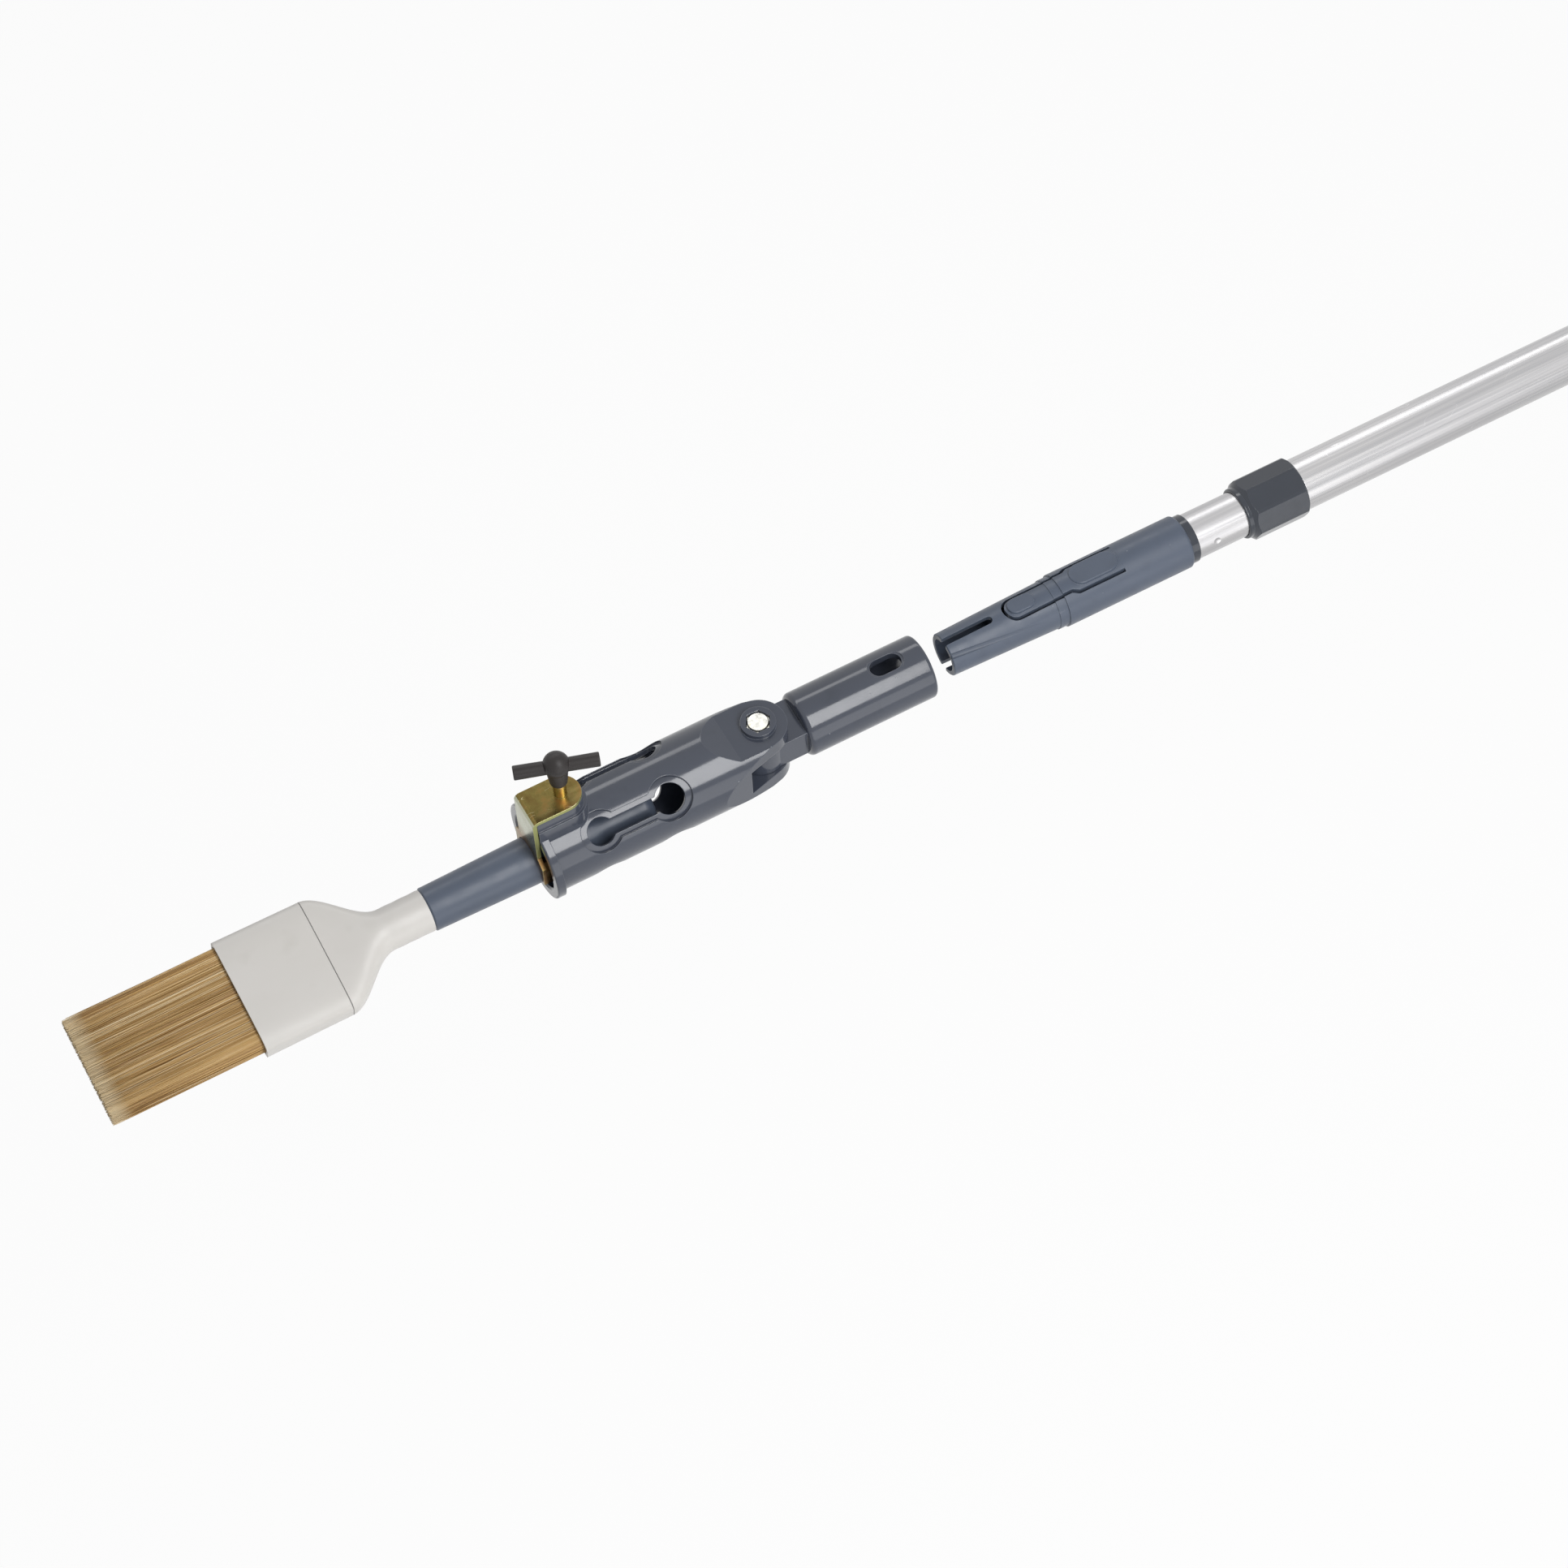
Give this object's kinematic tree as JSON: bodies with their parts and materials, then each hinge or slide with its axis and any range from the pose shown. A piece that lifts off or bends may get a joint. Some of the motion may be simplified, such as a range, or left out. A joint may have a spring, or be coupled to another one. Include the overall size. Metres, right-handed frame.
{
  "type": "telescopic window cleaning pole with tool clamp and brush",
  "caption": "Telescopic pole with a click cone, an angle socket with a tool clamp, and a flat dusting brush held in it.",
  "frame": {"origin": "centre of the adapter cone's tip, on the pole's axis", "axes": "+X along the pole towards its capped end, -X towards the brush, +Z the side of the clamp screw, hinge bolt head and latch button"},
  "size_m": [1.2127, 0.0552, 0.0872],
  "materials": {
    "slate_gloss": "dark slate grey plastic with a high gloss, moulded",
    "slate_satin": "slate grey plastic with a satin moulded skin",
    "slate_dark": "darker slate plastic, satin",
    "black_plastic": "matt brownish black plastic, fine grain",
    "aluminium_tube": "drawn and satin anodised, clear",
    "yellow_zinc": "steel, zinc plated and yellow passivated, with scratches and colour streaks",
    "bright_zinc": "steel, bright zinc plated",
    "white_plastic": "warm white plastic, smooth satin",
    "resin": "cast resin that sets the bristles",
    "bristle": "tapered synthetic filaments, golden tan in mixed shades"
  },
  "bodies": {
    "outer_pole": {"outer_tube": "aluminium_tube", "end_cap": "black_plastic", "collet": "black_plastic"},
    "collar": {"collar_nut": "slate_gloss"},
    "inner_pole": {"inner_tube": "aluminium_tube", "guide_bush": "black_plastic", "stop_ring": "slate_dark", "cone_adapter": "slate_satin"},
    "latch": {"latch_arm": "slate_satin"},
    "holder": {"holder_socket": "slate_gloss"},
    "head": {"clamp_barrel": "slate_gloss", "clamp_bracket": "yellow_zinc", "hinge_bolt": "bright_zinc", "hinge_washer": "bright_zinc", "hinge_nut": "bright_zinc"},
    "foot": {"screw_foot": "black_plastic"},
    "screw": {"clamp_screw": "yellow_zinc", "screw_handle": "black_plastic"},
    "brush": {"brush_handle": "slate_satin", "brush_neck": "white_plastic", "brush_ferrule": "white_plastic", "bristle_plug": "resin", "bristles": "bristle"}
  },
  "joints": [
    {"name": "collar_twist", "type": "hinge", "parent": "outer_pole", "child": "collar", "pos_m": [0.1698, 0, 0], "axis": [1, 0, 0], "range_deg": [0, 90]},
    {"name": "pole_extend", "type": "slide", "parent": "outer_pole", "child": "inner_pole", "axis": [-1, 0, 0], "range_m": [-0.0255, 0.5]},
    {"name": "latch_press", "type": "hinge", "parent": "inner_pole", "child": "latch", "pos_m": [0.0905, 0, 0.0082], "axis": [0, -1, 0], "range_deg": [0, 3], "stiffness_Nm_per_rad": 0.3, "springref_deg": -1.15},
    {"name": "pole_seat", "type": "slide", "parent": "inner_pole", "child": "holder", "axis": [1, 0, 0], "range_m": [0, 0.0697], "deforming": ["latch_arm"]},
    {"name": "head_tilt", "type": "hinge", "parent": "holder", "child": "head", "pos_m": [-0.0942, 0, 0], "axis": [0, 0, 1], "range_deg": [-90, 90]},
    {"name": "screw_travel", "type": "slide", "parent": "head", "child": "foot", "axis": [0, 0, 1], "range_m": [0, 0.0062]},
    {"name": "screw_turn", "type": "hinge", "parent": "foot", "child": "screw", "pos_m": [-0.1907, 0, 0.02], "axis": [0, 0, 1], "range_deg": [0, 2160]},
    {"name": "brush_slide", "type": "slide", "parent": "head", "child": "brush", "axis": [-1, 0, 0], "range_m": [-0.028, 0.058]}
  ],
  "couplings": [
    {"joint": "screw_travel", "follows": "screw_turn", "m_per_rad": 0.00015915}
  ]
}
